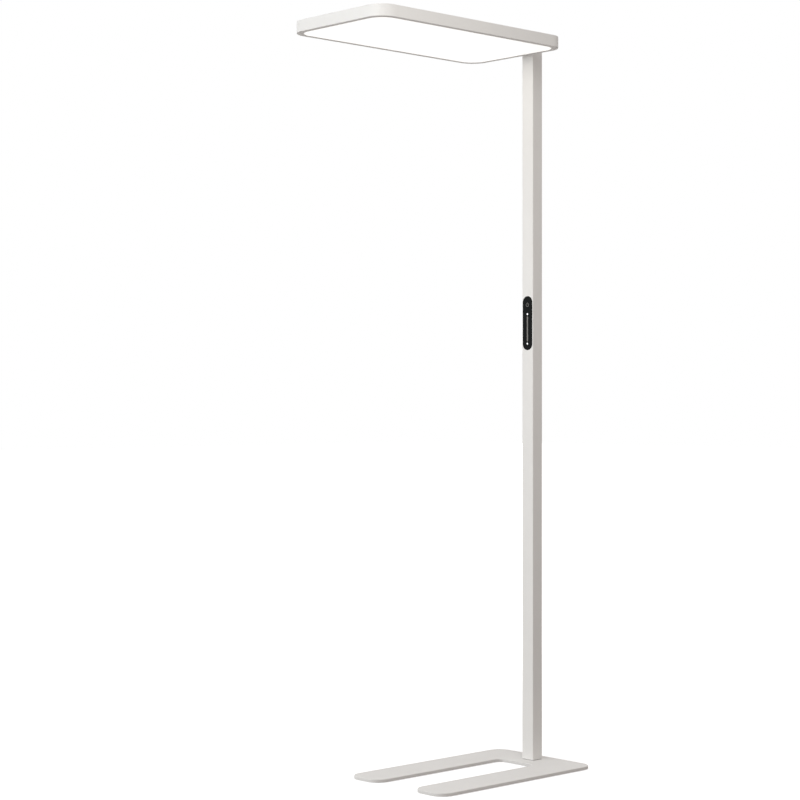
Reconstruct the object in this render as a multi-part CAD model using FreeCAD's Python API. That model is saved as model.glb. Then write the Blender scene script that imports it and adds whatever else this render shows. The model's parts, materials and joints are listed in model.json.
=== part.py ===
import FreeCAD, Part
import math
import os

# Free-standing office floor lamp, in millimetres.
# +Z is up, -Y is the front (the free end of the head and the tips of the feet), +X is the right foot.
# The origin is on the floor, in the middle of the lamp's overall length and width.

# ---------------------------------------------------------------- driving dimensions
total_height = 1950.0

# base plate: two feet joined by a crossbar at the rear
base_width = 352.0
base_length = 572.0
base_thickness = 8.0
base_corner_radius = 40.0
base_edge_radius = 1.2
slot_width = 128.0
slot_corner_radius = 20.0
crossbar_depth = 114.0
column_to_base_rear = 55.0

# floor pads, let into the underside of the base
pad_diameter = 22.0
pad_thickness = 3.0
pad_stand_off = 1.0
pad_edge_margin = 30.0
pad_gap = 0.3

# column: rectangular extrusion with a screw port in each inner corner
column_width = 40.0
column_depth = 37.0
column_wall = 2.5
column_edge_radius = 1.5
port_radius = 4.0
port_bore_radius = 2.5
foot_gasket_thickness = 1.0
foot_gasket_inset = 0.6

# neck between column and head
neck_reach = 37.0
neck_width = 30.0
neck_edge_radius = 2.5
neck_gap = 0.3
cable_channel_width = 15.0
cable_channel_depth = 13.0
cable_channel_height = 9.0
spigot_length = 70.0
spigot_gap = 0.3
tongue_width = 90.0
tongue_length = 76.0
tongue_thickness = 4.0
gusset_width = 5.0
gusset_length = 48.0

# head: rounded tray with a narrow rim below and a ledge for the cover above
head_width = 346.0
head_length = 664.0
head_height = 30.0
head_corner_radius = 48.0
head_edge_radius = 1.0
head_wall = 2.0
rim_width = 15.0
rim_thickness = 1.6
rim_corner_radius = 42.0
ledge_width = 3.0
ledge_thickness = 1.6
cover_thickness = 1.5
cover_gap = 0.3

# light engine, stacked on the rim
engine_gap = 0.7
diffuser_thickness = 3.5
diffuser_recess = 0.1
diffuser_gap = 0.3
guide_thickness = 4.0
guide_gap = 0.3
guide_corner_radius = 38.0
reflector_thickness = 0.5
chassis_thickness = 1.5

# light-emitting strips along the edges of the guide
strip_thickness = 1.2
strip_end_margin = 62.0
strip_side_gap = 0.2
edge_led_height = 1.0
edge_led_width = 3.2
edge_led_length = 2.8
edge_led_pitch = 15.0
strip_tail_length = 12.0
strip_tail_rise = 5.0
strip_tail_depth = 4.6
strip_slot_gap = 0.3
tail_from_head_rear = 200.0

# uplight in the top of the head
window_width = 120.0
window_corner_radius = 12.0
window_from_head_rear = 190.0
window_from_head_front = 50.0
window_overlap = 8.0
window_thickness = 2.0
uplight_board_width = 24.0
uplight_board_thickness = 1.6
uplight_board_spacing = 70.0
uplight_board_margin = 10.0
uplight_led_size = 5.0
uplight_led_height = 0.8
uplight_led_pitch = 20.0
uplight_plug_width = 8.0
uplight_plug_length = 10.0
uplight_plug_height = 5.0

# blocks that clamp the frame between the chassis and the cover
clamp_width = 16.0
clamp_depth = 12.7
clamp_count = 4
clamp_first_from_rear = 62.0
clamp_last_from_front = 62.0
clamp_screw_inset = 3.5

# electrical pieces on the chassis
driver_length = 280.0
driver_width = 30.0
driver_height = 16.0
driver_edge_radius = 1.5
driver_from_head_rear = 145.0
driver_ear_length = 9.0
driver_ear_width = 8.0
driver_ear_thickness = 1.5
terminal_length = 40.0
terminal_width = 22.0
terminal_height = 16.0
terminal_from_head_rear = 98.0
terminal_offset = 70.0
terminal_ways = 4
terminal_way_radius = 2.2
terminal_way_depth = 6.0

# leads inside the lamp
mains_lead_diameter = 6.5
mains_lead_offset = -3.4
mains_lead_clearance = 0.4
control_lead_diameter = 4.0
control_lead_offset = 3.6
column_lead_offset = 2.0
inlet_bend_radius = 10.0
slant_bend_radius = 40.0
neck_bend_radius = 12.0
head_bend_radius = 30.0
panel_bend_radius = 9.0
driver_bend_radius = 9.0
control_lead_from_driver = 18.0
control_entry_offset = 7.0
control_lead_from_head_rear = 118.0
wire_diameter = 2.0
wire_pitch = 2.4
wire_bend_radius = 6.0
wire_from_driver = 12.0
wire_lift = 0.3

# touch panel on the front of the column
panel_width = 35.0
panel_length = 147.0
panel_height_above_floor = 1199.0
panel_gap = 0.2
panel_pocket_depth = 1.0
lens_thickness = 1.6
lens_edge_radius = 0.4
tray_width = 17.6
tray_length = 131.6
tray_depth = 10.0
tray_wall = 1.2
tray_corner_radius = 1.8
tray_ledge = 1.2
tray_gap = 0.2
light_guide_thickness = 1.2
board_thickness = 1.6
board_gap = 0.1
panel_led_size = 2.0
panel_led_height = 0.7
panel_led_gap = 0.4
power_mark_above_centre = 50.0
dot_above_centre = 24.4
dot_below_centre = 56.0
slider_above_centre = 18.6
slider_below_centre = 50.0
slider_led_count = 6
chip_size = 7.0
chip_height = 1.2
chip_spacing = 42.0
hook_width = 8.0
hook_reach = 1.0
hook_root = 1.0
hook_length = 2.5
hook_gap = 0.2

# appliance inlet in the rear of the column
inlet_height_above_floor = 70.0
inlet_body_width = 20.0
inlet_body_length = 27.0
inlet_body_depth = 20.0
inlet_body_radius = 2.0
inlet_flange_margin = 3.0
inlet_flange_thickness = 2.0
inlet_flange_rounding = 1.0
inlet_gap = 0.2
inlet_recess_width = 16.6
inlet_recess_length = 24.2
inlet_recess_depth = 16.0
inlet_recess_chamfer = 4.0
inlet_pin_width = 4.0
inlet_pin_thickness = 2.0
inlet_pin_length = 14.0
inlet_pin_spacing = 14.0
inlet_pin_offset = 2.0
inlet_lead_rise = 40.0
inlet_lead_slant = 90.0

# column cap and screws
cap_thickness = 2.5
cap_edge_radius = 1.0
m3_radius = 1.4
m3_head_radius = 2.8
m4_radius = 1.9
m4_head_radius = 3.5
m4_head_height = 2.2
m5_radius = 2.4
m5_head_radius = 4.7
m5_head_height = 2.5
screw_gap = 0.2
thread_gap = 0.05
base_screw_length = 30.0
cap_screw_length = 14.0
bracket_screw_length = 11.0
bracket_screw_spacing = 30.0
bracket_screw_below_neck = 12.0
tongue_screw_spacing_x = 70.0
tongue_screw_spacing_y = 44.0

# ---------------------------------------------------------------- places worked out from them
front_reach = column_depth / 2 + neck_reach + head_length
column_y = (front_reach - column_to_base_rear) / 2
base_rear_y = column_y + column_to_base_rear
base_front_y = base_rear_y - base_length
slot_end_y = base_rear_y - crossbar_depth
base_bottom = pad_stand_off
base_top = base_bottom + base_thickness

column_bottom = base_top + foot_gasket_thickness
column_top = total_height - cap_thickness
column_front_y = column_y - column_depth / 2
column_rear_y = column_y + column_depth / 2
inner_half_width = column_width / 2 - column_wall
inner_half_depth = column_depth / 2 - column_wall
port_x = inner_half_width - port_radius
port_y = inner_half_depth - port_radius

head_top = total_height
head_bottom = head_top - head_height
head_rear_y = column_front_y - neck_reach
head_front_y = head_rear_y - head_length
head_y = (head_front_y + head_rear_y) / 2
head_inner_rear_y = head_rear_y - head_wall
cover_bottom = head_top - cover_thickness
ledge_bottom = cover_bottom - ledge_thickness
rim_top = head_bottom + rim_thickness
engine_inset = head_wall + ledge_width + engine_gap
engine_half_width = head_width / 2 - engine_inset
engine_half_length = head_length / 2 - engine_inset
diffuser_bottom = head_bottom + diffuser_recess
diffuser_top = diffuser_bottom + diffuser_thickness
guide_top = diffuser_top + guide_thickness
reflector_top = guide_top + reflector_thickness
chassis_top = reflector_top + chassis_thickness
flange_inner = engine_half_width - chassis_thickness
strip_inner = flange_inner - strip_thickness
guide_half_width = strip_inner - edge_led_height - guide_gap
guide_half_length = engine_half_length - chassis_thickness - guide_gap
strip_length = head_length - 2 * strip_end_margin
tail_y = head_rear_y - tail_from_head_rear
window_rear_y = head_rear_y - window_from_head_rear
window_length = head_length - window_from_head_rear - window_from_head_front
window_y = window_rear_y - window_length / 2

neck_bottom = chassis_top
neck_top = column_top - neck_gap
neck_height = neck_top - neck_bottom
tongue_top = neck_bottom + tongue_thickness
channel_z = (neck_bottom + neck_top) / 2
lead_y = column_y + column_lead_offset
driver_y = head_rear_y - driver_from_head_rear
terminal_y = head_rear_y - terminal_from_head_rear
wire_z = chassis_top + wire_lift + wire_diameter / 2
tongue_screw_y = head_inner_rear_y - tongue_length / 2
cover_screw_length = total_height - reflector_top

lens_back_y = column_front_y + panel_pocket_depth
board_front_y = lens_back_y + light_guide_thickness
board_back_y = board_front_y + board_thickness
tray_back_y = lens_back_y + tray_depth
tray_inner_width = tray_width - 2 * tray_wall
tray_inner_length = tray_length - 2 * tray_wall
recess_floor_y = column_rear_y + inlet_flange_thickness - inlet_recess_depth

OVERSHOOT = 5.0


# ---------------------------------------------------------------- geometry helpers
def on_floor(a, b):
    return FreeCAD.Vector(a, b, 0)


def on_front(a, b):
    return FreeCAD.Vector(a, 0, b)


def on_side(a, b):
    return FreeCAD.Vector(0, a, b)


def rounded_outline(corners, place):
    """Closed wire through (a, b, radius) corners, each rounded by its own radius."""
    spots = []
    count = len(corners)
    for i, (a, b, radius) in enumerate(corners):
        here = FreeCAD.Vector(a, b, 0)
        before = FreeCAD.Vector(corners[i - 1][0], corners[i - 1][1], 0) - here
        after = FreeCAD.Vector(corners[(i + 1) % count][0], corners[(i + 1) % count][1], 0) - here
        half_angle = before.getAngle(after) / 2
        if radius <= 0:
            spots.append((here, here, here))
            continue
        before.normalize()
        after.normalize()
        bisector = (before + after).normalize()
        reach = radius / math.tan(half_angle)
        centre = here + bisector * (radius / math.sin(half_angle))
        spots.append((here + before * reach, centre - bisector * radius, here + after * reach))
    edges = []
    for i, (start, middle, end) in enumerate(spots):
        last = spots[i - 1][2]
        if last.distanceToPoint(start) > 1e-6:
            edges.append(Part.makeLine(place(last.x, last.y), place(start.x, start.y)))
        if start.distanceToPoint(end) > 1e-6:
            arc = Part.Arc(place(start.x, start.y), place(middle.x, middle.y), place(end.x, end.y))
            edges.append(arc.toShape())
    return Part.Wire(edges)


def rectangle(width, length, radius, a=0.0, b=0.0):
    """Corners of a rounded rectangle about (a, b)."""
    signs = ((-1, -1), (1, -1), (1, 1), (-1, 1))
    return [(a + sa * width / 2, b + sb * length / 2, radius) for sa, sb in signs]


def slab(corners, bottom, top):
    """Flat plate between two heights with the given outline."""
    face = Part.Face(rounded_outline(corners, on_floor))
    face.translate(FreeCAD.Vector(0, 0, bottom))
    return face.extrude(FreeCAD.Vector(0, 0, top - bottom))


def upright(corners, front, back):
    """Plate that stands upright between two depths, its outline drawn in X and Z."""
    face = Part.Face(rounded_outline(corners, on_front))
    face.translate(FreeCAD.Vector(0, front, 0))
    return face.extrude(FreeCAD.Vector(0, back - front, 0))


def profile(corners, left, right):
    """Plate between two X positions, its outline drawn in Y and Z."""
    face = Part.Face(rounded_outline(corners, on_side))
    face.translate(FreeCAD.Vector(left, 0, 0))
    return face.extrude(FreeCAD.Vector(right - left, 0, 0))


def block(x_range, y_range, z_range):
    size = [abs(b - a) for a, b in (x_range, y_range, z_range)]
    corner = [min(pair) for pair in (x_range, y_range, z_range)]
    return Part.makeBox(*size, FreeCAD.Vector(*corner))


def rod(radius, length, base, direction=(0, 0, 1)):
    return Part.makeCylinder(radius, length, FreeCAD.Vector(*base), FreeCAD.Vector(*direction))


def joined(shapes):
    return shapes[0].fuse(list(shapes[1:])).removeSplitter()


def without(shape, tools):
    return shape.cut(list(tools))


def level_edges(shape, height):
    """Edges that lie wholly at one height."""
    box_of = [(edge, edge.BoundBox) for edge in shape.Edges]
    return [edge for edge, box in box_of if abs(box.ZMin - height) < 1e-4 and abs(box.ZMax - height) < 1e-4]


def deep_edges(shape, depth):
    """Edges that lie wholly at one depth along Y."""
    box_of = [(edge, edge.BoundBox) for edge in shape.Edges]
    return [edge for edge, box in box_of if abs(box.YMin - depth) < 1e-4 and abs(box.YMax - depth) < 1e-4]


def countersunk(radius, head_radius, head_height, length, top, direction):
    """Countersunk screw: top is the middle of its flat head, direction points along the shank."""
    top = FreeCAD.Vector(*top)
    direction = FreeCAD.Vector(*direction)
    head = Part.makeCone(head_radius, radius, head_height, top, direction)
    shank = Part.makeCylinder(radius, length - head_height, top + direction * head_height, direction)
    return joined([head, shank])


def countersink(radius, head_radius, head_height, length, top, direction):
    """Hole for a countersunk screw, wider by the screw gap."""
    top = FreeCAD.Vector(*top)
    direction = FreeCAD.Vector(*direction)
    cone = Part.makeCone(head_radius + screw_gap, radius + screw_gap, head_height, top, direction)
    hole = Part.makeCylinder(radius + screw_gap, length, top, direction)
    return joined([cone, hole])


def pan_screw(radius, head_radius, head_height, length, seat):
    """Screw with a low round head that stands on its seat and points down."""
    head = rod(head_radius, head_height, seat)
    shank = rod(radius, length, seat, (0, 0, -1))
    return joined([head, shank])


def lead(route, diameter):
    """Round lead along straight runs joined by tangent arcs; each inner point carries its bend radius."""
    points = [FreeCAD.Vector(*point[:3]) for point in route]
    bends = [point[3] for point in route[1:-1]]
    edges = []
    start = points[0]
    for before, here, after, bend_radius in zip(points, points[1:], points[2:], bends):
        back = (before - here).normalize()
        on = (after - here).normalize()
        half_angle = back.getAngle(on) / 2
        bisector = (back + on).normalize()
        reach = bend_radius / math.tan(half_angle)
        centre = here + bisector * (bend_radius / math.sin(half_angle))
        entry = here + back * reach
        leave = here + on * reach
        if start.distanceToPoint(entry) > 1e-6:
            edges.append(Part.makeLine(start, entry))
        edges.append(Part.Arc(entry, centre - bisector * bend_radius, leave).toShape())
        start = leave
    edges.append(Part.makeLine(start, points[-1]))
    path = Part.Wire(edges)
    section = Part.Wire([Part.makeCircle(diameter / 2, points[0], points[1] - points[0])])
    return path.makePipeShell([section], True, False)


def mirrored_in_x(shape):
    return shape.mirror(FreeCAD.Vector(0, 0, 0), FreeCAD.Vector(1, 0, 0))


# ---------------------------------------------------------------- base
def pad_places():
    x = base_width / 2 - pad_edge_margin
    middle = (base_front_y + base_rear_y) / 2
    rows = (base_front_y + pad_edge_margin, middle, base_rear_y - pad_edge_margin)
    return [(side * x, y) for side in (-1, 1) for y in rows]


def port_places():
    return [(sx * port_x, column_y + sy * port_y) for sx in (-1, 1) for sy in (-1, 1)]


def base_plate():
    half = base_width / 2
    slot = slot_width / 2
    corners = [
        (-half, base_front_y, base_corner_radius),
        (-slot, base_front_y, base_corner_radius),
        (-slot, slot_end_y, slot_corner_radius),
        (slot, slot_end_y, slot_corner_radius),
        (slot, base_front_y, base_corner_radius),
        (half, base_front_y, base_corner_radius),
        (half, base_rear_y, base_corner_radius),
        (-half, base_rear_y, base_corner_radius),
    ]
    plate = slab(corners, base_bottom, base_top)
    plate = plate.makeFillet(base_edge_radius, level_edges(plate, base_top))
    pocket_depth = pad_thickness - pad_stand_off
    tools = [
        rod(pad_diameter / 2 + pad_gap, pocket_depth + OVERSHOOT, (x, y, base_bottom - OVERSHOOT))
        for x, y in pad_places()
    ]
    for x, y in port_places():
        foot = (x, y, base_bottom)
        tools.append(countersink(m5_radius, m5_head_radius, m5_head_height, base_thickness, foot, (0, 0, 1)))
    return without(plate, tools)


def base_pads():
    return Part.makeCompound([rod(pad_diameter / 2, pad_thickness, (x, y, 0)) for x, y in pad_places()])


def base_screws():
    screws = []
    for x, y in port_places():
        foot = (x, y, base_bottom)
        screws.append(
            countersunk(m5_radius, m5_head_radius, m5_head_height, base_screw_length, foot, (0, 0, 1))
        )
    return Part.makeCompound(screws)


def foot_gasket():
    width = column_width - 2 * foot_gasket_inset
    depth = column_depth - 2 * foot_gasket_inset
    plate = slab(rectangle(width, depth, column_edge_radius, 0, column_y), base_top, column_bottom)
    window = slab(
        rectangle(2 * (inner_half_width - 2 * port_radius), 2 * inner_half_depth, 0, 0, column_y),
        base_top,
        column_bottom,
    )
    holes = [rod(port_bore_radius, foot_gasket_thickness, (x, y, base_top)) for x, y in port_places()]
    return without(plate, [window] + holes)


# ---------------------------------------------------------------- column
def screw_ports():
    """Round ports along the extrusion, each backed by a solid web into its corner."""
    ports = []
    for sx in (-1, 1):
        for sy in (-1, 1):
            x = sx * port_x
            y = column_y + sy * port_y
            ports.append(rod(port_radius, column_top - column_bottom, (x, y, column_bottom)))
            ports.append(
                block(
                    (x, sx * inner_half_width),
                    (y, column_y + sy * inner_half_depth),
                    (column_bottom, column_top),
                )
            )
    return ports


def bracket_screw_heights():
    upper = neck_bottom - bracket_screw_below_neck
    return (upper, upper - bracket_screw_spacing)


def inlet_body(gap, front, back):
    width = inlet_body_width + 2 * gap
    length = inlet_body_length + 2 * gap
    return upright(rectangle(width, length, inlet_body_radius, 0, inlet_height_above_floor), front, back)


def column_tube():
    outside = rectangle(column_width, column_depth, column_edge_radius, 0, column_y)
    inside = rectangle(2 * inner_half_width, 2 * inner_half_depth, 0, 0, column_y)
    outer = slab(outside, column_bottom, column_top)
    hollow = slab(inside, column_bottom, column_top)
    tube = joined([without(outer, [hollow])] + screw_ports())
    pocket = upright(
        rectangle(
            panel_width + 2 * panel_gap,
            panel_length + 2 * panel_gap,
            panel_width / 2 + panel_gap,
            0,
            panel_height_above_floor,
        ),
        column_front_y - OVERSHOOT,
        lens_back_y,
    )
    window = upright(
        rectangle(
            tray_width + 2 * tray_gap,
            tray_length + 2 * tray_gap,
            tray_corner_radius,
            0,
            panel_height_above_floor,
        ),
        column_front_y - OVERSHOOT,
        tray_back_y + tray_gap,
    )
    inlet_front = column_rear_y - inlet_body_depth - inlet_gap
    notch_half = neck_width / 2 + neck_gap
    notch = block(
        (-notch_half, notch_half),
        (column_front_y - OVERSHOOT, column_y - port_y + port_radius),
        (neck_bottom - neck_gap, column_top + OVERSHOOT),
    )
    tools = [pocket, window, inlet_body(inlet_gap, inlet_front, column_rear_y + OVERSHOOT), notch]
    tools += [
        rod(port_bore_radius, column_top - column_bottom, (x, y, column_bottom)) for x, y in port_places()
    ]
    for height in bracket_screw_heights():
        seat = (0, column_rear_y, height)
        tools.append(countersink(m5_radius, m5_head_radius, m5_head_height, column_wall, seat, (0, -1, 0)))
    return without(tube, tools)


def column_cap():
    outline = rectangle(column_width, column_depth, column_edge_radius, 0, column_y)
    cap = slab(outline, column_top, total_height)
    cap = cap.makeFillet(cap_edge_radius, level_edges(cap, total_height))
    return without(cap, [cap_screw_shape(countersink, x, cap_thickness) for x in (-port_x, port_x)])


def cap_screw_shape(maker, x, length):
    seat = (x, column_y + port_y, total_height)
    return maker(m5_radius, m5_head_radius, m5_head_height, length, seat, (0, 0, -1))


def cap_screws():
    return Part.makeCompound([cap_screw_shape(countersunk, x, cap_screw_length) for x in (-port_x, port_x)])


# ---------------------------------------------------------------- touch panel
def panel_marks():
    """Heights of the lit marks: power mark, upper dot, slider lights and lower dot."""
    top = panel_height_above_floor + slider_above_centre
    bottom = panel_height_above_floor - slider_below_centre
    step = (top - bottom) / (slider_led_count - 1)
    marks = [panel_height_above_floor + power_mark_above_centre, panel_height_above_floor + dot_above_centre]
    marks += [bottom + i * step for i in range(slider_led_count)]
    return marks + [panel_height_above_floor - dot_below_centre]


def control_lens():
    front = lens_back_y - lens_thickness
    outline = rectangle(panel_width, panel_length, panel_width / 2, 0, panel_height_above_floor)
    lens = upright(outline, front, lens_back_y)
    return lens.makeFillet(lens_edge_radius, deep_edges(lens, front))


def board_outline():
    width = tray_inner_width - 2 * board_gap
    length = tray_inner_length - 2 * board_gap
    return rectangle(width, length, 0, 0, panel_height_above_floor)


def control_light_guide():
    guide = upright(board_outline(), lens_back_y, board_front_y)
    hole = panel_led_size / 2 + panel_led_gap
    tools = [rod(hole, light_guide_thickness, (0, lens_back_y, z), (0, 1, 0)) for z in panel_marks()]
    return without(guide, tools)


def control_board():
    pieces = [upright(board_outline(), board_front_y, board_back_y)]
    half = panel_led_size / 2
    for z in panel_marks():
        pieces.append(rod(half, panel_led_height, (0, board_front_y, z), (0, -1, 0)))
    for side in (-1, 1):
        z = panel_height_above_floor + side * chip_spacing
        chip = rectangle(chip_size, chip_size, 0, 0, z)
        pieces.append(upright(chip, board_back_y, board_back_y + chip_height))
    return joined(pieces)


def control_housing():
    z = panel_height_above_floor
    shell = upright(rectangle(tray_width, tray_length, tray_corner_radius, 0, z), lens_back_y, tray_back_y)
    seat = upright(rectangle(tray_inner_width, tray_inner_length, 0, 0, z), lens_back_y, board_back_y)
    hollow = upright(
        rectangle(tray_inner_width - 2 * tray_ledge, tray_inner_length - 2 * tray_ledge, 0, 0, z),
        lens_back_y,
        tray_back_y - tray_wall,
    )
    wall_back = column_front_y + column_wall + hook_gap
    hooks = [
        block(
            (-hook_width / 2, hook_width / 2),
            (wall_back, wall_back + hook_length),
            (z + side * (tray_length / 2 - tray_wall / 2), z + side * (tray_length / 2 + hook_reach)),
        )
        for side in (-1, 1)
    ]
    return joined([without(shell, [seat, hollow])] + hooks)


def control_lead():
    x = control_lead_offset
    turn_y = head_rear_y - control_lead_from_head_rear
    end_x = -driver_length / 2
    side_x = end_x - control_lead_from_driver
    end_y = driver_y + control_entry_offset
    route = [
        (x, tray_back_y, panel_height_above_floor),
        (x, lead_y, panel_height_above_floor, panel_bend_radius),
        (x, lead_y, channel_z, neck_bend_radius),
        (x, turn_y, channel_z, head_bend_radius),
        (side_x, turn_y, channel_z, driver_bend_radius),
        (side_x, end_y, channel_z, driver_bend_radius),
        (end_x, end_y, channel_z),
    ]
    return lead(route, control_lead_diameter)


# ---------------------------------------------------------------- mains inlet
def mains_inlet():
    face_y = column_rear_y + inlet_flange_thickness
    z = inlet_height_above_floor
    body = inlet_body(0, column_rear_y - inlet_body_depth, column_rear_y)
    flange = upright(
        rectangle(
            inlet_body_width + 2 * inlet_flange_margin,
            inlet_body_length + 2 * inlet_flange_margin,
            inlet_body_radius + inlet_flange_rounding,
            0,
            z,
        ),
        column_rear_y,
        face_y,
    )
    wall_back = column_rear_y - column_wall - hook_gap
    hooks = [
        block(
            (-hook_width / 2, hook_width / 2),
            (wall_back - hook_length, wall_back),
            (z + side * (inlet_body_length / 2 - hook_root), z + side * (inlet_body_length / 2 + hook_reach)),
        )
        for side in (-1, 1)
    ]
    half_width = inlet_recess_width / 2
    half_length = inlet_recess_length / 2
    cut = inlet_recess_chamfer
    recess = upright(
        [
            (-half_width, z - half_length, 0),
            (half_width - cut, z - half_length, 0),
            (half_width, z - half_length + cut, 0),
            (half_width, z + half_length - cut, 0),
            (half_width - cut, z + half_length, 0),
            (-half_width, z + half_length, 0),
        ],
        recess_floor_y,
        face_y + OVERSHOOT,
    )
    return without(joined([body, flange] + hooks), [recess])


def inlet_pins():
    z = inlet_height_above_floor
    half_spacing = inlet_pin_spacing / 2
    places = (
        (-inlet_pin_offset, z - half_spacing),
        (-inlet_pin_offset, z + half_spacing),
        (inlet_pin_offset, z),
    )
    pins = []
    for x, height in places:
        outline = rectangle(inlet_pin_width, inlet_pin_thickness, 0, x, height)
        pins.append(upright(outline, recess_floor_y, recess_floor_y + inlet_pin_length))
    return Part.makeCompound(pins)


def mains_lead():
    x = mains_lead_offset
    start_y = column_rear_y - inlet_body_depth
    front_y = column_front_y + column_wall + mains_lead_diameter / 2 + mains_lead_clearance
    z = inlet_height_above_floor
    route = [
        (0, start_y, z),
        (0, front_y, z, inlet_bend_radius),
        (0, front_y, z + inlet_lead_rise, slant_bend_radius),
        (x, lead_y, z + inlet_lead_rise + inlet_lead_slant, slant_bend_radius),
        (x, lead_y, channel_z, neck_bend_radius),
        (x, terminal_y, channel_z, head_bend_radius),
        (-terminal_offset + terminal_length / 2, terminal_y, channel_z),
    ]
    return lead(route, mains_lead_diameter)


# ---------------------------------------------------------------- neck
def head_bracket():
    """Spigot in the column, hollow neck across the gap, and a tongue that lies on the chassis."""
    spigot_bottom = neck_bottom - spigot_length
    wide = inner_half_width - spigot_gap
    deep = inner_half_depth - spigot_gap
    between_ports_x = inner_half_width - 2 * port_radius - spigot_gap
    between_ports_y = inner_half_depth - 2 * port_radius - spigot_gap
    spigot = (spigot_bottom, neck_top)
    cross = [
        block((-wide, wide), (column_y - between_ports_y, column_y + between_ports_y), spigot),
        block((-between_ports_x, between_ports_x), (column_y - deep, column_y + deep), spigot),
    ]
    arm = upright(
        rectangle(neck_width, neck_height, neck_edge_radius, 0, channel_z),
        head_inner_rear_y,
        column_y - between_ports_y,
    )
    tongue = block(
        (-tongue_width / 2, tongue_width / 2),
        (head_inner_rear_y - tongue_length, head_inner_rear_y),
        (neck_bottom, tongue_top),
    )
    half_channel = cable_channel_width / 2
    half_height = cable_channel_height / 2
    shaft = block(
        (-half_channel, half_channel),
        (column_y - cable_channel_depth / 2, column_y + cable_channel_depth / 2),
        (spigot_bottom - OVERSHOOT, channel_z + half_height),
    )
    bore = block(
        (-half_channel, half_channel),
        (head_inner_rear_y - OVERSHOOT, column_y),
        (channel_z - half_height, channel_z + half_height),
    )
    tools = [shaft, bore]
    for height in bracket_screw_heights():
        tools.append(rod(m5_radius + thread_gap, column_depth / 2, (0, column_rear_y, height), (0, -1, 0)))
    for x, y in tongue_screw_places():
        tools.append(rod(m5_radius + screw_gap, tongue_thickness, (x, y, neck_bottom)))
    return without(joined(cross + [arm, tongue] + tongue_gussets()), tools)


def tongue_gussets():
    """Sloping ribs from the end of the neck down to the tongue, one each side of the leads."""
    outline = [
        (head_inner_rear_y, tongue_top, 0),
        (head_inner_rear_y, neck_top - neck_edge_radius, 0),
        (head_inner_rear_y - gusset_length, tongue_top, 0),
    ]
    inner = neck_width / 2 - gusset_width
    return [profile(outline, side * inner, side * neck_width / 2) for side in (-1, 1)]


def tongue_screw_places():
    half_x = tongue_screw_spacing_x / 2
    half_y = tongue_screw_spacing_y / 2
    return [(sx * half_x, tongue_screw_y + sy * half_y) for sx in (-1, 1) for sy in (-1, 1)]


def bracket_screws():
    screws = []
    for height in bracket_screw_heights():
        seat = (0, column_rear_y, height)
        screws.append(
            countersunk(m5_radius, m5_head_radius, m5_head_height, bracket_screw_length, seat, (0, -1, 0))
        )
    return Part.makeCompound(screws)


def tongue_screws():
    length = tongue_thickness + chassis_thickness
    return Part.makeCompound(
        [
            pan_screw(m5_radius, m5_head_radius, m5_head_height, length, (x, y, tongue_top))
            for x, y in tongue_screw_places()
        ]
    )


# ---------------------------------------------------------------- head: frame and covers
def head_outline(inset, radius=None):
    """The head's outline moved inwards, its corners concentric unless a radius is given."""
    if radius is None:
        radius = head_corner_radius - inset
    return rectangle(head_width - 2 * inset, head_length - 2 * inset, radius, 0, head_y)


def head_frame():
    frame = slab(head_outline(0), head_bottom, head_top)
    edges = level_edges(frame, head_bottom) + level_edges(frame, head_top)
    frame = frame.makeFillet(head_edge_radius, edges)
    half_neck = neck_width / 2 + neck_gap
    tools = [
        slab(head_outline(rim_width, rim_corner_radius), head_bottom - OVERSHOOT, rim_top + OVERSHOOT),
        slab(head_outline(head_wall), rim_top, ledge_bottom),
        slab(head_outline(head_wall + ledge_width), ledge_bottom - OVERSHOOT, head_top + OVERSHOOT),
        slab(head_outline(head_wall), cover_bottom, head_top + OVERSHOOT),
        block(
            (-half_neck, half_neck),
            (head_inner_rear_y - OVERSHOOT, head_rear_y + OVERSHOOT),
            (neck_bottom - neck_gap, neck_top + neck_gap),
        ),
    ]
    return without(frame, tools)


def clamp_places():
    first = head_rear_y - clamp_first_from_rear
    last = head_front_y + clamp_last_from_front
    step = (last - first) / (clamp_count - 1)
    return [first + i * step for i in range(clamp_count)]


def cover_screw_x():
    return head_width / 2 - head_wall - cover_gap - clamp_depth + clamp_screw_inset


def top_cover():
    cover = slab(head_outline(head_wall + cover_gap), cover_bottom, head_top)
    opening = rectangle(window_width, window_length, window_corner_radius, 0, window_y)
    tools = [slab(opening, cover_bottom, head_top)]
    for y in clamp_places():
        for side in (-1, 1):
            seat = (side * cover_screw_x(), y, head_top)
            tools.append(
                countersink(m3_radius, m3_head_radius, cover_thickness, cover_thickness, seat, (0, 0, -1))
            )
    return without(cover, tools)


def cover_screws():
    screws = []
    for y in clamp_places():
        for side in (-1, 1):
            seat = (side * cover_screw_x(), y, head_top)
            screws.append(
                countersunk(m3_radius, m3_head_radius, cover_thickness, cover_screw_length, seat, (0, 0, -1))
            )
    return Part.makeCompound(screws)


def clamp_blocks():
    """Stepped blocks on the chassis: their toes reach under the ledge, the cover screws pass through."""
    outer = head_width / 2 - head_wall - cover_gap
    inner = outer - clamp_depth
    step = head_width / 2 - head_wall - ledge_width - cover_gap
    blocks = []
    for y in clamp_places():
        sides = (y - clamp_width / 2, y + clamp_width / 2)
        body = block((inner, step), sides, (chassis_top, cover_bottom))
        toe = block((step, outer), sides, (chassis_top, ledge_bottom))
        hole = rod(m3_radius + screw_gap, cover_bottom - chassis_top, (cover_screw_x(), y, chassis_top))
        clamp = without(joined([body, toe]), [hole])
        blocks += [clamp, mirrored_in_x(clamp)]
    return Part.makeCompound(blocks)


def uplight_window():
    width = window_width + 2 * window_overlap
    length = window_length + 2 * window_overlap
    outline = rectangle(width, length, window_corner_radius, 0, window_y)
    return slab(outline, cover_bottom - window_thickness, cover_bottom)


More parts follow.
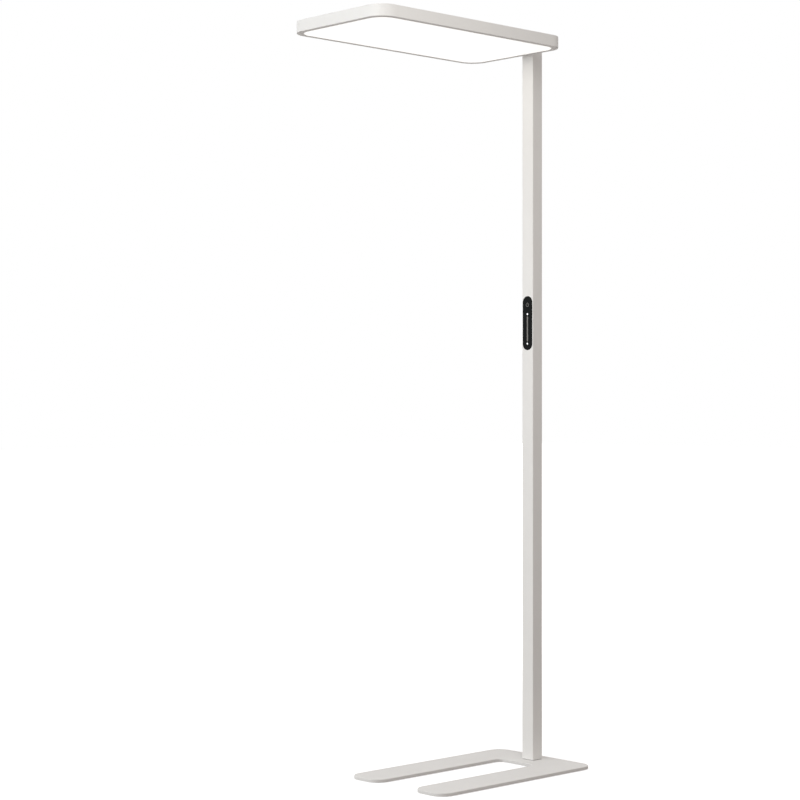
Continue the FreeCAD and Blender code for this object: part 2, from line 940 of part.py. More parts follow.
# ---------------------------------------------------------------- head: light engine
def diffuser():
    flange = slab(head_outline(engine_inset), rim_top, diffuser_top)
    face = slab(
        head_outline(rim_width + diffuser_gap, rim_corner_radius - diffuser_gap), diffuser_bottom, rim_top
    )
    return joined([flange, face])


def guide_outline():
    return rectangle(2 * guide_half_width, 2 * guide_half_length, guide_corner_radius, 0, head_y)


def light_guide_plate():
    return slab(guide_outline(), diffuser_top, guide_top)


def reflector_sheet():
    return slab(guide_outline(), guide_top, reflector_top)


def led_strip():
    """Strip on the right edge of the guide, with the tail that rises through the chassis."""
    bottom = diffuser_top + strip_side_gap
    top = guide_top - strip_side_gap
    rear = head_y + strip_length / 2
    tail_top = chassis_top + strip_tail_rise
    pieces = [
        block((strip_inner, flange_inner), (rear - strip_length, rear), (bottom, top)),
        block((strip_inner, flange_inner), (tail_y - strip_tail_length, tail_y), (bottom, tail_top)),
        block(
            (strip_inner - strip_tail_depth, strip_inner),
            (tail_y - strip_tail_length, tail_y),
            (chassis_top + strip_slot_gap, tail_top),
        ),
    ]
    strip = joined(pieces)
    count = int(strip_length // edge_led_pitch)
    first = head_y - (count - 1) * edge_led_pitch / 2
    middle = (bottom + top) / 2
    lights = [
        block(
            (strip_inner - edge_led_height, strip_inner),
            (centre - edge_led_width / 2, centre + edge_led_width / 2),
            (middle - edge_led_length / 2, middle + edge_led_length / 2),
        )
        for centre in [first + i * edge_led_pitch for i in range(count)]
    ]
    return Part.makeCompound([strip] + lights)


def led_strip_left():
    return mirrored_in_x(led_strip())


def chassis_plate():
    """Folded sheet: flat top, turned-down edges that stand on the diffuser."""
    top = slab(head_outline(engine_inset), reflector_top, chassis_top)
    straight_y = head_length / 2 - head_corner_radius
    straight_x = head_width / 2 - head_corner_radius
    pieces = [top]
    for side in (-1, 1):
        pieces.append(
            block(
                (side * flange_inner, side * engine_half_width),
                (head_y - straight_y, head_y + straight_y),
                (diffuser_top, reflector_top),
            )
        )
        edge_y = head_y + side * engine_half_length
        pieces.append(
            block(
                (-straight_x, straight_x),
                (edge_y - side * chassis_thickness, edge_y),
                (diffuser_top, reflector_top),
            )
        )
    tools = []
    for side in (-1, 1):
        tools.append(
            block(
                (side * (strip_inner - strip_slot_gap), side * flange_inner),
                (tail_y - strip_tail_length - strip_slot_gap, tail_y + strip_slot_gap),
                (reflector_top, chassis_top),
            )
        )
        ear_x = side * (driver_length + driver_ear_length) / 2
        tools.append(rod(m4_radius + thread_gap, chassis_thickness, (ear_x, driver_y, reflector_top)))
        screw_x = side * cover_screw_x()
        for y in clamp_places():
            tools.append(rod(m3_radius + thread_gap, chassis_thickness, (screw_x, y, reflector_top)))
    for x, y in tongue_screw_places():
        tools.append(rod(m5_radius + thread_gap, chassis_thickness, (x, y, reflector_top)))
    return without(joined(pieces), tools)


def uplight_board():
    """Right board of the uplight: strip, its lights and the plug at its rear end."""
    length = window_length - 2 * uplight_board_margin
    x = uplight_board_spacing / 2
    top = chassis_top + uplight_board_thickness
    board = slab(rectangle(uplight_board_width, length, 0, x, window_y), chassis_top, top)
    rear = window_y + length / 2
    plug = slab(
        rectangle(uplight_plug_width, uplight_plug_length, 0, x, rear - uplight_plug_length / 2),
        top,
        top + uplight_plug_height - uplight_board_thickness,
    )
    run = length - 2 * uplight_plug_length
    count = int(run // uplight_led_pitch)
    first = window_y - (count - 1) * uplight_led_pitch / 2
    lights = [
        slab(
            rectangle(uplight_led_size, uplight_led_size, 0, x, first + i * uplight_led_pitch),
            top,
            top + uplight_led_height,
        )
        for i in range(count)
    ]
    return Part.makeCompound([joined([board, plug])] + lights)


def uplight_board_left():
    return mirrored_in_x(uplight_board())


# ---------------------------------------------------------------- head: electrical pieces
def led_driver():
    top = chassis_top + driver_height
    case = slab(rectangle(driver_length, driver_width, 0, 0, driver_y), chassis_top, top)
    case = case.makeFillet(driver_edge_radius, level_edges(case, top))
    pieces = [case]
    tools = []
    for side in (-1, 1):
        ear_x = side * (driver_length + driver_ear_length) / 2
        ear = rectangle(driver_ear_length, driver_ear_width, 0, ear_x, driver_y)
        pieces.append(slab(ear, chassis_top, chassis_top + driver_ear_thickness))
        tools.append(rod(m4_radius + screw_gap, driver_ear_thickness, (ear_x, driver_y, chassis_top)))
    return without(joined(pieces), tools)


def driver_screws():
    ear_x = (driver_length + driver_ear_length) / 2
    length = driver_ear_thickness + chassis_thickness
    seat_z = chassis_top + driver_ear_thickness
    return Part.makeCompound(
        [
            pan_screw(m4_radius, m4_head_radius, m4_head_height, length, (side * ear_x, driver_y, seat_z))
            for side in (-1, 1)
        ]
    )


def terminal_block():
    outline = rectangle(terminal_length, terminal_width, 0, -terminal_offset, terminal_y)
    body = slab(outline, chassis_top, chassis_top + terminal_height)
    pitch = terminal_length / terminal_ways
    first = -terminal_offset - terminal_length / 2 + pitch / 2
    top = chassis_top + terminal_height
    tools = [
        rod(terminal_way_radius, terminal_way_depth, (first + i * pitch, terminal_y, top), (0, 0, -1))
        for i in range(terminal_ways)
    ]
    return without(body, tools)


def driver_leads():
    """Two wires round the left end, from the terminal block to the driver's input."""
    start_x = -terminal_offset - terminal_length / 2
    end_x = -driver_length / 2
    wires = []
    for i in range(2):
        side_x = end_x - control_lead_from_driver + i * wire_pitch
        start_y = terminal_y + (1 - i) * wire_pitch
        end_y = driver_y - driver_width / 2 + (1 + i) * wire_pitch
        route = [
            (start_x, start_y, wire_z),
            (side_x, start_y, wire_z, driver_bend_radius),
            (side_x, end_y, wire_z, driver_bend_radius),
            (end_x, end_y, wire_z),
        ]
        wires.append(lead(route, wire_diameter))
    return Part.makeCompound(wires)


def led_leads():
    """Four wires from the driver's output, nested round its right end."""
    start_x = driver_length / 2
    strip_x = strip_inner - strip_tail_depth / 2
    plug_x = uplight_board_spacing / 2
    plug_y = window_y + window_length / 2 - uplight_board_margin
    ends = ((-strip_x, tail_y), (-plug_x, plug_y), (plug_x, plug_y))
    wires = []
    for i, (end_x, end_y) in enumerate(ends):
        turn_x = start_x + wire_bend_radius + (1 + i) * wire_pitch
        start_y = driver_y - driver_width / 2 + (1 + i) * wire_pitch
        row_y = driver_y - driver_width / 2 - wire_from_driver - i * wire_pitch
        route = [
            (start_x, start_y, wire_z),
            (turn_x, start_y, wire_z, wire_bend_radius),
            (turn_x, row_y, wire_z, wire_bend_radius),
            (end_x, row_y, wire_z, wire_bend_radius),
            (end_x, end_y, wire_z),
        ]
        wires.append(lead(route, wire_diameter))
    last_y = driver_y - driver_width / 2 + (1 + len(ends)) * wire_pitch
    route = [
        (start_x, last_y, wire_z),
        (strip_x, last_y, wire_z, driver_bend_radius),
        (strip_x, tail_y, wire_z),
    ]
    wires.append(lead(route, wire_diameter))
    return Part.makeCompound(wires)


# ---------------------------------------------------------------- build
NODES = {
    "base_plate": base_plate,
    "base_pads": base_pads,
    "base_screws": base_screws,
    "foot_gasket": foot_gasket,
    "column_tube": column_tube,
    "column_cap": column_cap,
    "cap_screws": cap_screws,
    "control_lens": control_lens,
    "control_light_guide": control_light_guide,
    "control_board": control_board,
    "control_housing": control_housing,
    "control_lead": control_lead,
    "mains_inlet": mains_inlet,
    "inlet_pins": inlet_pins,
    "mains_lead": mains_lead,
    "head_bracket": head_bracket,
    "bracket_screws": bracket_screws,
    "tongue_screws": tongue_screws,
    "head_frame": head_frame,
    "top_cover": top_cover,
    "cover_screws": cover_screws,
    "clamp_blocks": clamp_blocks,
    "uplight_window": uplight_window,
    "diffuser": diffuser,
    "light_guide_plate": light_guide_plate,
    "reflector_sheet": reflector_sheet,
    "led_strip_right": led_strip,
    "led_strip_left": led_strip_left,
    "chassis_plate": chassis_plate,
    "uplight_board_right": uplight_board,
    "uplight_board_left": uplight_board_left,
    "led_driver": led_driver,
    "driver_screws": driver_screws,
    "terminal_block": terminal_block,
    "driver_leads": driver_leads,
    "led_leads": led_leads,
}

os.makedirs("parts", exist_ok=True)
for name, make in NODES.items():
    make().exportStep(os.path.join("parts", name + ".step"))
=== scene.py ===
import json
import math

import bmesh
import bpy
from mathutils import Matrix, Vector


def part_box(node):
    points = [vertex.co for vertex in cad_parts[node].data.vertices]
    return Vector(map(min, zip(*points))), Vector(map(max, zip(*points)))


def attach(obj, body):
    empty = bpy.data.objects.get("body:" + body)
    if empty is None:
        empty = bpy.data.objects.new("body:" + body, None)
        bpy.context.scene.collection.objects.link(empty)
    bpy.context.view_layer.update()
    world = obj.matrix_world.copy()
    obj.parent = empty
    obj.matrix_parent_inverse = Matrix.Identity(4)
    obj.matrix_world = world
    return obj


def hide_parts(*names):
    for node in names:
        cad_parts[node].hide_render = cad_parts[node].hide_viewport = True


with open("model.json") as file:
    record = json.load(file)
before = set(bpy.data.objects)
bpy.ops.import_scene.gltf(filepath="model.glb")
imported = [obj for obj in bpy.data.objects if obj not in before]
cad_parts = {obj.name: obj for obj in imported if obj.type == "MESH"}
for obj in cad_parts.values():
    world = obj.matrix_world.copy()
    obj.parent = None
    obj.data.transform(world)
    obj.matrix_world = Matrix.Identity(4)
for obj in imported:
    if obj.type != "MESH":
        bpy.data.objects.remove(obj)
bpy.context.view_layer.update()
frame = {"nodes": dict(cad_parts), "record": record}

# Looks of the office floor lamp, in metres, in the frame of the CAD model:
# +Z up, -Y the front (free end of the head), +X the right foot, floor at Z 0.
SCENE = bpy.context.scene
MM = 0.001


# ---------------------------------------------------------------- camera
# Fitted to the photograph: the edges of head, column, panel and base all project within a pixel.
CAMERA_AZIMUTH = math.radians(46.9)
CAMERA_HEIGHT = 0.9848
CAMERA_TO_COLUMN = 5.2610
COLUMN_RIGHT_OF_AXIS = 0.3612
FOCAL_PIXELS = 1925.2
HORIZON_PIXEL = 401.7
IMAGE_PIXELS = 800
SENSOR_MM = 36.0
COLUMN_Y = sum(corner.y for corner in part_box("column_tube")) / 2


def add_camera():
    right = Vector((math.cos(CAMERA_AZIMUTH), math.sin(CAMERA_AZIMUTH), 0))
    ahead = Vector((-math.sin(CAMERA_AZIMUTH), math.cos(CAMERA_AZIMUTH), 0))
    column = Vector((0, COLUMN_Y, 0))
    data = bpy.data.cameras.new("camera")
    data.sensor_width = SENSOR_MM
    data.lens = FOCAL_PIXELS * SENSOR_MM / IMAGE_PIXELS
    data.shift_y = (HORIZON_PIXEL - IMAGE_PIXELS / 2) / IMAGE_PIXELS
    data.clip_end = 100
    camera = bpy.data.objects.new("camera", data)
    camera.location = column - right * COLUMN_RIGHT_OF_AXIS - ahead * CAMERA_TO_COLUMN
    camera.location.z = CAMERA_HEIGHT
    camera.rotation_euler = (math.pi / 2, 0, CAMERA_AZIMUTH)
    SCENE.collection.objects.link(camera)
    SCENE.camera = camera


# ---------------------------------------------------------------- lights, backdrop and floor
WORLD_STRENGTH = 0.452
WORLD_COLOUR = (1.04, 0.985, 0.955, 1)
FLOOR_COLOUR = (0.34, 0.315, 0.30, 1)
# Where it is seen, the floor is white with a glow that rises between two distances from the lamp's middle, so that
# it shows the contact shadow near the base and no horizon.
FLOOR_SEEN_COLOUR = (0.95, 0.95, 0.95, 1)
FLOOR_GLOW = (0.45, 1.0)
FLOOR_GLOW_DISTANCES = (1.0, 3.0)
FLOOR_SIZE = 60.0

LAMP_TARGET = (0, 0, 1)
LAMPS = {
    # name: (place, side of the square, watts, colour)
    "front": ((-2.0, -3.6, 1.3), 1.5, 74.5, (0.965, 1.01, 1.025)),
    "right_high": ((1.3, -1.0, 2.3), 1.0, 9.3, (0.985, 1.01, 1.0)),
    "right_low": ((1.2, -0.4, 1.6), 0.8, 3.4, (1.04, 1.0, 0.96)),
    "above": ((0.4, -3.2, 3.6), 1.6, 22.0, (0.95, 1.0, 1.05)),
    "behind": ((-1.2, 4.0, 1.1), 1.5, 22.0, (1.0, 1.0, 1.0)),
}
OWN_LIGHT_BELOW_DIFFUSER = 0.5 * MM
OWN_LIGHT_MARGIN = 10 * MM
OWN_LIGHT_WATTS = 0.17
OWN_LIGHT_COLOUR = (1.0, 0.87, 0.74)


def seen_directly(tree):
    """Factor that is 1 for rays that show a background: from the camera, in a reflection or through glass."""
    path = tree.nodes.new("ShaderNodeLightPath")
    first = tree.nodes.new("ShaderNodeMath")
    first.operation = "MAXIMUM"
    second = tree.nodes.new("ShaderNodeMath")
    second.operation = "MAXIMUM"
    tree.links.new(path.outputs["Is Camera Ray"], first.inputs[0])
    tree.links.new(path.outputs["Is Glossy Ray"], first.inputs[1])
    tree.links.new(first.outputs[0], second.inputs[0])
    tree.links.new(path.outputs["Is Transmission Ray"], second.inputs[1])
    return second.outputs[0]


def add_world():
    world = bpy.data.worlds.new("studio")
    SCENE.world = world
    world.use_nodes = True
    tree = world.node_tree
    tree.nodes.clear()
    light = tree.nodes.new("ShaderNodeBackground")
    light.inputs["Color"].default_value = WORLD_COLOUR
    light.inputs["Strength"].default_value = WORLD_STRENGTH
    white = tree.nodes.new("ShaderNodeBackground")
    white.inputs["Color"].default_value = (1, 1, 1, 1)
    white.inputs["Strength"].default_value = 1.0
    mix = tree.nodes.new("ShaderNodeMixShader")
    out = tree.nodes.new("ShaderNodeOutputWorld")
    tree.links.new(seen_directly(tree), mix.inputs[0])
    tree.links.new(light.outputs[0], mix.inputs[1])
    tree.links.new(white.outputs[0], mix.inputs[2])
    tree.links.new(mix.outputs[0], out.inputs["Surface"])


def add_lamp(name, place, target, size, power, colour):
    data = bpy.data.lights.new(name, "AREA")
    data.shape = "RECTANGLE"
    data.size, data.size_y = size
    data.energy = power
    data.color = colour
    lamp = bpy.data.objects.new(name, data)
    lamp.location = place
    lamp.rotation_euler = (Vector(target) - Vector(place)).to_track_quat("-Z", "Y").to_euler()
    lamp.visible_camera = False
    lamp.visible_glossy = False
    SCENE.collection.objects.link(lamp)


def add_own_light():
    """Warm light that the lit underside of the head sends down, just below the diffuser's face."""
    low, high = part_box("diffuser")
    x, y = (low.x + high.x) / 2, (low.y + high.y) / 2
    place = (x, y, low.z - OWN_LIGHT_BELOW_DIFFUSER)
    size = (high.x - low.x - 2 * OWN_LIGHT_MARGIN, high.y - low.y - 2 * OWN_LIGHT_MARGIN)
    add_lamp("own_light", place, (x, y, 0), size, OWN_LIGHT_WATTS, OWN_LIGHT_COLOUR)


def add_floor():
    mesh = bpy.data.meshes.new("floor")
    half = FLOOR_SIZE / 2
    corners = [(-half, -half, 0), (half, -half, 0), (half, half, 0), (-half, half, 0)]
    mesh.from_pydata(corners, [], [(0, 1, 2, 3)])
    floor = bpy.data.objects.new("floor", mesh)
    SCENE.collection.objects.link(floor)
    material = bpy.data.materials.new("floor")
    material.use_nodes = True
    tree = material.node_tree
    tree.nodes.remove(tree.nodes["Principled BSDF"])
    pale = tree.nodes.new("ShaderNodeBsdfDiffuse")
    pale.inputs["Color"].default_value = FLOOR_COLOUR
    white = tree.nodes.new("ShaderNodeBsdfDiffuse")
    white.inputs["Color"].default_value = FLOOR_SEEN_COLOUR
    glow = tree.nodes.new("ShaderNodeEmission")
    place = tree.nodes.new("ShaderNodeNewGeometry")
    distance = tree.nodes.new("ShaderNodeVectorMath")
    distance.operation = "LENGTH"
    rise = tree.nodes.new("ShaderNodeMapRange")
    rise.inputs["From Min"].default_value, rise.inputs["From Max"].default_value = FLOOR_GLOW_DISTANCES
    rise.inputs["To Min"].default_value, rise.inputs["To Max"].default_value = FLOOR_GLOW
    tree.links.new(place.outputs["Position"], distance.inputs[0])
    tree.links.new(distance.outputs["Value"], rise.inputs["Value"])
    tree.links.new(rise.outputs["Result"], glow.inputs["Strength"])
    seen = tree.nodes.new("ShaderNodeAddShader")
    tree.links.new(white.outputs[0], seen.inputs[0])
    tree.links.new(glow.outputs[0], seen.inputs[1])
    mix = tree.nodes.new("ShaderNodeMixShader")
    tree.links.new(seen_directly(tree), mix.inputs[0])
    tree.links.new(pale.outputs[0], mix.inputs[1])
    tree.links.new(seen.outputs[0], mix.inputs[2])
    tree.links.new(mix.outputs[0], tree.nodes["Material Output"].inputs["Surface"])
    mesh.materials.append(material)


# ---------------------------------------------------------------- materials
CLOUD_DETAIL = 3.0
GRAIN_DETAIL = 2.0
RAMP_POSITIONS = (0.3, 0.7)


def noise(tree, scale, detail, stretch=(1, 1, 1)):
    """Noise over the object's own coordinates; scale counts features per metre."""
    place = tree.nodes.new("ShaderNodeTexCoord")
    mapping = tree.nodes.new("ShaderNodeMapping")
    mapping.inputs["Scale"].default_value = stretch
    texture = tree.nodes.new("ShaderNodeTexNoise")
    texture.inputs["Scale"].default_value = scale
    texture.inputs["Detail"].default_value = detail
    tree.links.new(place.outputs["Object"], mapping.inputs["Vector"])
    tree.links.new(mapping.outputs[0], texture.inputs["Vector"])
    return texture.outputs["Fac"]


def ramp(tree, source, low, high):
    """Colour between two tints, driven by a 0 to 1 value."""
    node = tree.nodes.new("ShaderNodeValToRGB")
    for element, position, colour in zip(node.color_ramp.elements, RAMP_POSITIONS, (low, high)):
        element.position = position
        element.color = (*colour, 1)
    tree.links.new(source, node.inputs["Fac"])
    return node.outputs["Color"]


def spread(tree, source, low, high):
    """Value between two limits, driven by a 0 to 1 value."""
    node = tree.nodes.new("ShaderNodeMapRange")
    node.inputs["To Min"].default_value = low
    node.inputs["To Max"].default_value = high
    tree.links.new(source, node.inputs["Value"])
    return node.outputs["Result"]


def bump(tree, source, strength, distance):
    node = tree.nodes.new("ShaderNodeBump")
    node.inputs["Strength"].default_value = strength
    node.inputs["Distance"].default_value = distance
    tree.links.new(source, node.inputs["Height"])
    return node.outputs["Normal"]


def shader_material(name, low, high, clouds, roughness, grains, grain, stretch=(1, 1, 1), **settings):
    """Principled material: cloudy tint, roughness that varies with the grain, and a fine bump.

    low and high are the two tints, clouds and grains count features per metre, roughness holds two limits,
    and grain holds the bump's strength and depth. Settings go to the shader's own sockets.
    """
    material = bpy.data.materials.new(name)
    material.use_nodes = True
    tree = material.node_tree
    shader = tree.nodes["Principled BSDF"]
    tree.links.new(ramp(tree, noise(tree, clouds, CLOUD_DETAIL), low, high), shader.inputs["Base Color"])
    fine = noise(tree, grains, GRAIN_DETAIL, stretch)
    tree.links.new(spread(tree, fine, *roughness), shader.inputs["Roughness"])
    tree.links.new(bump(tree, fine, *grain), shader.inputs["Normal"])
    for key, value in settings.items():
        shader.inputs[key.replace("_", " ")].default_value = value
    return material


def tint(colour, change):
    return tuple(max(0.0, min(1.0, channel * (1 + change))) for channel in colour)


COAT = (0.800, 0.788, 0.770)
COAT_CLOUDING = 0.012
COAT_SPECULAR = 0.25
COATED = {"base_coat": 0.0, "column_coat": 0.0, "head_coat": 0.0, "screw_coat": -0.03}


def coat(name, change):
    """The lamp's light grey powder coat, lighter or darker by a share."""
    colour = tint(COAT, change)
    low, high = tint(colour, -COAT_CLOUDING), tint(colour, COAT_CLOUDING)
    return shader_material(
        name, low, high, 9.0, (0.55, 0.68), 1400.0, (0.10, 0.00012), Specular_IOR_Level=COAT_SPECULAR
    )


GLOWING = {
    # slot: (colour of the glow, strength)
    "panel_mark_white": ((1.0, 1.0, 1.0), 1.0),
    "opal_acrylic": ((1.0, 0.995, 0.975), 0.62),
}


def emitting(name, colour, strength):
    """Opal plastic with light behind it: cloudy white body, fine grain and an even glow."""
    low, high = (0.84, 0.84, 0.83), (0.88, 0.88, 0.87)
    material = shader_material(name, low, high, 25.0, (0.45, 0.55), 1600.0, (0.15, 0.0001))
    shader = material.node_tree.nodes["Principled BSDF"]
    shader.inputs["Emission Color"].default_value = (*colour, 1)
    shader.inputs["Emission Strength"].default_value = strength
    return material


DARK, DARKER = (0.05, 0.05, 0.05), (0.03, 0.03, 0.03)
FINISHES = {
    # slot: (low tint, high tint, clouds, roughness, grains, grain, settings), as in shader_material
    "pad_rubber": (DARKER, (0.045, 0.045, 0.045), 60.0, (0.75, 0.9), 900.0, (0.4, 0.0002), {}),
    "gasket_rubber": (DARK, (0.08, 0.078, 0.075), 60.0, (0.75, 0.9), 900.0, (0.4, 0.0002), {}),
    "screw_steel": (
        (0.564, 0.564, 0.564), (0.60, 0.60, 0.60), 200.0, (0.28, 0.4), 1500.0, (0.1, 0.0001), {"Metallic": 1.0}
    ),
    "panel_gloss": (
        (0.0045, 0.0054, 0.0052), (0.0065, 0.0076, 0.0074), 40.0, (0.10, 0.16), 300.0, (0.02, 0.0001),
        {"Specular_IOR_Level": 0.085},
    ),
    "panel_mark_grey": ((0.17, 0.16, 0.15), (0.20, 0.19, 0.18), 80.0, (0.35, 0.5), 1500.0, (0.1, 0.0001), {}),
    "clear_acrylic": (
        (0.90, 0.92, 0.92), (0.95, 0.96, 0.96), 20.0, (0.04, 0.08), 500.0, (0.02, 0.0001),
        {"Transmission_Weight": 0.9, "IOR": 1.49},
    ),
    "circuit_board": ((0.82, 0.82, 0.80), (0.90, 0.90, 0.88), 300.0, (0.35, 0.5), 1500.0, (0.1, 0.0001), {}),
    "control_circuit": (
        (0.01, 0.09, 0.045), (0.015, 0.14, 0.07), 400.0, (0.3, 0.45), 1500.0, (0.2, 0.0001), {}
    ),
    "black_plastic": (
        (0.020, 0.020, 0.021), (0.030, 0.030, 0.031), 60.0, (0.42, 0.58), 1800.0, (0.3, 0.0002), {}
    ),
    "plated_pin": (
        (0.66, 0.63, 0.56), (0.74, 0.72, 0.66), 300.0, (0.18, 0.3), 1500.0, (0.05, 0.0001), {"Metallic": 1.0}
    ),
    "cable_sheath": (DARKER, DARK, 60.0, (0.6, 0.75), 900.0, (0.2, 0.0002), {}),
    "white_film": ((0.90, 0.90, 0.90), (0.94, 0.94, 0.94), 30.0, (0.5, 0.6), 900.0, (0.05, 0.0001), {}),
    "bare_aluminium": (
        (0.72, 0.72, 0.73), (0.80, 0.80, 0.81), 20.0, (0.28, 0.42), 700.0, (0.1, 0.0001),
        {"stretch": (1, 0.02, 1), "Metallic": 1.0},
    ),
    "driver_case": ((0.84, 0.84, 0.84), (0.88, 0.88, 0.88), 30.0, (0.45, 0.55), 1500.0, (0.2, 0.0001), {}),
    "terminal_plastic": ((0.78, 0.77, 0.73), (0.83, 0.82, 0.78), 60.0, (0.4, 0.5), 1500.0, (0.2, 0.0001), {}),
    "wire_red": ((0.45, 0.03, 0.025), (0.55, 0.045, 0.04), 100.0, (0.35, 0.45), 900.0, (0.1, 0.0001), {}),
    "wire_blue": ((0.03, 0.08, 0.35), (0.045, 0.11, 0.44), 100.0, (0.35, 0.45), 900.0, (0.1, 0.0001), {}),
}


def make_materials():
    materials = {slot: coat(slot, change) for slot, change in COATED.items()}
    for slot, (colour, strength) in GLOWING.items():
        materials[slot] = emitting(slot, colour, strength)
    for slot, (*values, settings) in FINISHES.items():
        materials[slot] = shader_material(slot, *values, **settings)
    return materials


# ---------------------------------------------------------------- mesh helpers
MERGE_DISTANCE = 1e-7
SEAM_DISTANCE = 1e-6


def add_piece(name, bm, materials, slot):
    """Piece of the scene's own, on the body root, from a mesh under construction."""
    bmesh.ops.remove_doubles(bm, verts=bm.verts, dist=MERGE_DISTANCE)
    bmesh.ops.recalc_face_normals(bm, faces=bm.faces)
    data = bpy.data.meshes.new(name)
    bm.to_mesh(data)
    bm.free()
    data.materials.append(materials[slot])
    piece = bpy.data.objects.new(name, data)
    SCENE.collection.objects.link(piece)
    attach(piece, "root")
    return piece


def prism(bm, outline, front, back):
    """Plate that stands upright between two depths along Y, its outline given as (x, z) points."""
    front_ring = [bm.verts.new((x, front, z)) for x, z in outline]
    back_ring = [bm.verts.new((x, back, z)) for x, z in outline]
    bm.faces.new(front_ring)
    bm.faces.new(list(reversed(back_ring)))
    count = len(outline)
    for i in range(count):
        j = (i + 1) % count
        bm.faces.new((front_ring[j], front_ring[i], back_ring[i], back_ring[j]))


def arc_points(centre, radius, start, end, count):
    x, z = centre
    angles = [start + (end - start) * i / (count - 1) for i in range(count)]
    return [(x + radius * math.cos(a), z + radius * math.sin(a)) for a in angles]


# ---------------------------------------------------------------- marks on the touch panel
MARK_THICKNESS = 0.06 * MM
POWER_ABOVE_CENTRE = 50.0 * MM
POWER_RADIUS = 4.6 * MM
POWER_LINE = 1.3 * MM
POWER_GAP = math.radians(36)
POWER_STEM_FOOT = 0.8 * MM
POWER_STEM_PAST_RING = 1.6 * MM
POWER_POINTS = 40
DOT_RADIUS = 2.2 * MM
DOT_POINTS = 32
DOTS_FROM_CENTRE = (24.4 * MM, -56.0 * MM)
SLIDER_TOP = 18.6 * MM
SLIDER_BOTTOM = -50.0 * MM
SLIDER_WIDTH = 4.4 * MM
SLIDER_END_POINTS = 16


def add_panel_marks(materials):
    low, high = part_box("control_lens")
    centre_z = (low.z + high.z) / 2
    back = low.y
    front = back - MARK_THICKNESS

    bm = bmesh.new()
    half = POWER_LINE / 2
    middle = (0.0, centre_z + POWER_ABOVE_CENTRE)
    start = math.pi / 2 + POWER_GAP
    end = math.pi / 2 - POWER_GAP + 2 * math.pi
    inner = arc_points(middle, POWER_RADIUS - half, start, end, POWER_POINTS)
    outer = arc_points(middle, POWER_RADIUS + half, start, end, POWER_POINTS)
    prism(bm, outer + inner[::-1], front, back)
    foot = middle[1] + POWER_STEM_FOOT
    top = middle[1] + POWER_RADIUS + POWER_STEM_PAST_RING
    prism(bm, [(-half, foot), (half, foot), (half, top), (-half, top)], front, back)
    add_piece("power_mark", bm, materials, "panel_mark_grey")

    bm = bmesh.new()
    last_angle = 2 * math.pi * (DOT_POINTS - 1) / DOT_POINTS
    for offset in DOTS_FROM_CENTRE:
        prism(bm, arc_points((0.0, centre_z + offset), DOT_RADIUS, 0, last_angle, DOT_POINTS), front, back)
    add_piece("level_dots", bm, materials, "panel_mark_white")

    bm = bmesh.new()
    radius = SLIDER_WIDTH / 2
    upper_middle = (0.0, centre_z + SLIDER_TOP - radius)
    lower_middle = (0.0, centre_z + SLIDER_BOTTOM + radius)
    upper = arc_points(upper_middle, radius, 0, math.pi, SLIDER_END_POINTS)
    lower = arc_points(lower_middle, radius, math.pi, 2 * math.pi, SLIDER_END_POINTS)
    prism(bm, upper + lower, front, back)
    add_piece("slider_mark", bm, materials, "panel_mark_grey")


# ---------------------------------------------------------------- visible screws with socket recesses
RING_POINTS = 48
SCREW_LIP = 0.12 * MM
# head radius, shank radius, head height, socket radius, socket depth, in millimetres
M3 = (2.8, 1.4, 1.5, 1.15, 1.0)
M5 = (4.7, 2.4, 2.5, 1.75, 1.8)
SCREWS = {
    # node: (axis along the shank, thread, length in millimetres, slot)
    "bracket_screws": ((0, -1, 0), M5, 11.0, "screw_coat"),
    "cap_screws": ((0, 0, -1), M5, 14.0, "screw_coat"),
    "cover_screws": ((0, 0, -1), M3, 21.9, "screw_coat"),
    "base_screws": ((0, 0, 1), M5, 30.0, "screw_steel"),
}


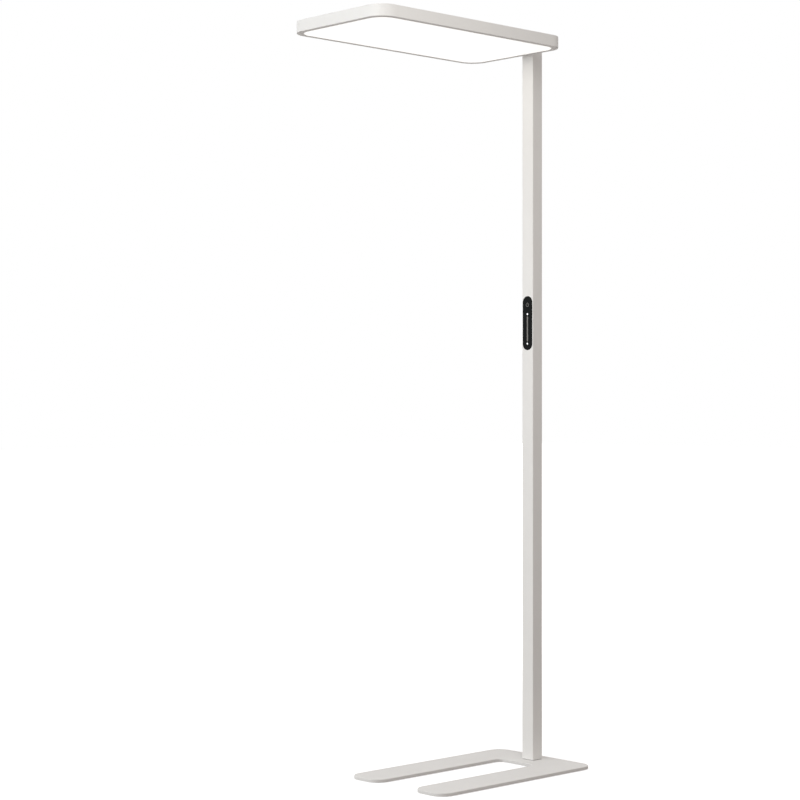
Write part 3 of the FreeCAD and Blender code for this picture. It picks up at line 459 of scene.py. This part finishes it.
def socket_screw(bm, place, axis, thread, length):
    """Countersunk screw with a hexagonal socket, from the middle of its flat head along its shank's axis."""
    head_radius, shank_radius, head_height, socket_radius, socket_depth = (size * MM for size in thread)
    turn = Vector((0, 0, 1)).rotation_difference(Vector(axis)).to_matrix().to_4x4()
    move = Matrix.Translation(place) @ turn
    angles = [2 * math.pi * i / RING_POINTS for i in range(RING_POINTS)]

    def ring(radius, depth):
        return [bm.verts.new(move @ Vector((radius * math.cos(a), radius * math.sin(a), depth))) for a in angles]

    def hexagon(radius, depth):
        """Hexagon with as many points as the rings, so that strips join them."""
        points = []
        for a in angles:
            from_flat = (a % (math.pi / 3)) - math.pi / 6
            reach = radius * math.cos(math.pi / 6) / math.cos(from_flat)
            points.append(bm.verts.new(move @ Vector((reach * math.cos(a), reach * math.sin(a), depth))))
        return points

    loops = [
        hexagon(socket_radius, socket_depth),
        hexagon(socket_radius, SCREW_LIP),
        hexagon(socket_radius + SCREW_LIP, 0),
        ring(head_radius - SCREW_LIP, 0),
        ring(head_radius, SCREW_LIP),
        ring(shank_radius, head_height),
        ring(shank_radius, length * MM),
    ]
    bm.faces.new(loops[0])
    for inner, outer in zip(loops, loops[1:]):
        for i in range(RING_POINTS):
            j = (i + 1) % RING_POINTS
            bm.faces.new((inner[i], inner[j], outer[j], outer[i]))
    bm.faces.new(list(reversed(loops[-1])))


def screw_centres(node, axis):
    """Middle of each separate screw of a CAD group, on the plane of its head."""
    bm = bmesh.new()
    bm.from_mesh(frame["nodes"][node].data)
    bmesh.ops.remove_doubles(bm, verts=bm.verts, dist=SEAM_DISTANCE)
    left = set(bm.verts)
    centres = []
    direction = Vector(axis)
    while left:
        stack = [left.pop()]
        island = []
        while stack:
            vert = stack.pop()
            island.append(vert.co.copy())
            for edge in vert.link_edges:
                other = edge.other_vert(vert)
                if other in left:
                    left.remove(other)
                    stack.append(other)
        low = Vector([min(point[i] for point in island) for i in range(3)])
        high = Vector([max(point[i] for point in island) for i in range(3)])
        middle = (low + high) / 2
        start = min(point.dot(direction) for point in island)
        centres.append(middle + direction * (start - middle.dot(direction)))
    bm.free()
    return sorted(centres, key=lambda point: tuple(round(value, 5) for value in point))


def add_screws(materials):
    for node, (axis, thread, length, slot) in SCREWS.items():
        bm = bmesh.new()
        for centre in screw_centres(node, axis):
            socket_screw(bm, centre, axis, thread, length)
        piece = add_piece(node + "_socketed", bm, materials, slot)
        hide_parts(node)


# ---------------------------------------------------------------- dress the CAD nodes
def dress_nodes(materials):
    slots = {entry["node"]: entry["material_slot"] for entry in frame["record"]["subparts"]}
    for node, piece in frame["nodes"].items():
        piece.data.materials.clear()
        piece.data.materials.append(materials[slots[node]])


add_camera()
add_world()
for lamp_name, (lamp_place, side, watts, lamp_colour) in LAMPS.items():
    add_lamp(lamp_name, lamp_place, LAMP_TARGET, (side, side), watts, lamp_colour)
add_own_light()
add_floor()
MATERIALS = make_materials()
dress_nodes(MATERIALS)
add_panel_marks(MATERIALS)
add_screws(MATERIALS)

SCENE.view_settings.view_transform = "Standard"
